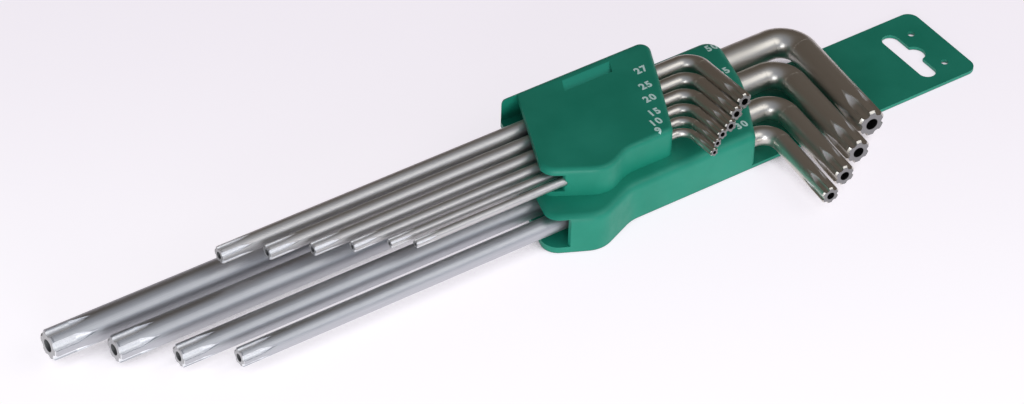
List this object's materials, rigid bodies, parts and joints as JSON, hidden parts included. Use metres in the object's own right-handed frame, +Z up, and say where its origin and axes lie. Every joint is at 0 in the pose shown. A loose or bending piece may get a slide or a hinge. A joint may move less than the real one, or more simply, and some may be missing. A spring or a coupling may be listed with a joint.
{
  "type": "star key set",
  "caption": "L-shaped long-arm star keys with pin holes in their tips, nested by size in a two-tier plastic holder with a hanging plate; each key slides out of its bore.",
  "frame": {"origin": "on the underside of the lower tier, below the row of upper keys", "axes": "+X along the long arms towards the hanger plate, +Y towards the straight back walls, +Z up"},
  "size_m": [0.2933, 0.0709, 0.0226],
  "materials": {
    "holder_plastic": "moulded satin green",
    "key_steel": "satin, paler at the tips"
  },
  "bodies": {
    "holder": {"lower_tier": "holder_plastic", "upper_tier": "holder_plastic"},
    "star_key_9": {"star_key_9": "key_steel"},
    "star_key_10": {"star_key_10": "key_steel"},
    "star_key_15": {"star_key_15": "key_steel"},
    "star_key_20": {"star_key_20": "key_steel"},
    "star_key_25": {"star_key_25": "key_steel"},
    "star_key_27": {"star_key_27": "key_steel"},
    "star_key_30": {"star_key_30": "key_steel"},
    "star_key_40": {"star_key_40": "key_steel"},
    "star_key_45": {"star_key_45": "key_steel"},
    "star_key_50": {"star_key_50": "key_steel"}
  },
  "joints": [
    {"name": "key_9_slide", "type": "slide", "parent": "holder", "child": "star_key_9", "axis": [1, 0, 0], "range_m": [0, 0.084]},
    {"name": "key_10_slide", "type": "slide", "parent": "star_key_9", "child": "star_key_10", "axis": [1, 0, 0], "range_m": [0, 0.092]},
    {"name": "key_15_slide", "type": "slide", "parent": "star_key_10", "child": "star_key_15", "axis": [1, 0, 0], "range_m": [0, 0.103]},
    {"name": "key_20_slide", "type": "slide", "parent": "star_key_15", "child": "star_key_20", "axis": [1, 0, 0], "range_m": [0, 0.115]},
    {"name": "key_25_slide", "type": "slide", "parent": "star_key_20", "child": "star_key_25", "axis": [1, 0, 0], "range_m": [0, 0.129]},
    {"name": "key_27_slide", "type": "slide", "parent": "star_key_25", "child": "star_key_27", "axis": [1, 0, 0], "range_m": [0, 0.144]},
    {"name": "key_30_slide", "type": "slide", "parent": "holder", "child": "star_key_30", "axis": [1, 0, 0], "range_m": [0, 0.17]},
    {"name": "key_40_slide", "type": "slide", "parent": "star_key_30", "child": "star_key_40", "axis": [1, 0, 0], "range_m": [0, 0.188]},
    {"name": "key_45_slide", "type": "slide", "parent": "star_key_40", "child": "star_key_45", "axis": [1, 0, 0], "range_m": [0, 0.207]},
    {"name": "key_50_slide", "type": "slide", "parent": "star_key_45", "child": "star_key_50", "axis": [1, 0, 0], "range_m": [0, 0.224]}
  ]
}
